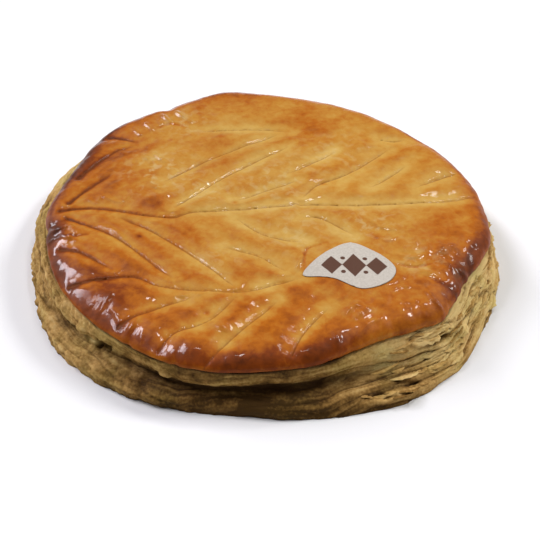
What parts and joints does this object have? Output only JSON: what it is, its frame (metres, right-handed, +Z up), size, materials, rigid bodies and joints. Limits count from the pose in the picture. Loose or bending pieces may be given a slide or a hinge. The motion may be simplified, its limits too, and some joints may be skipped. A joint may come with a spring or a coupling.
{
  "type": "galette des rois",
  "caption": "Round scored puff pastry pie with a glossy browned top, flaky layered sides and a small bare paper label; rests on its flat underside.",
  "frame": {"origin": "middle of the flat underside, at the centre of the pie's box in plan", "axes": "+Z up through the browned top; -Y towards the viewer of the front side, with the paper label towards +X and -Y"},
  "size_m": [0.2664, 0.2688, 0.0364],
  "materials": {
    "galette": "puff pastry: glossy egg-washed golden brown top, darker at the rim, and matt pale straw-coloured flaky side",
    "label": "matt off-white paper with a brown line ornament"
  },
  "bodies": {
    "root": {"galette": "galette", "label": "label"}
  },
  "joints": []
}
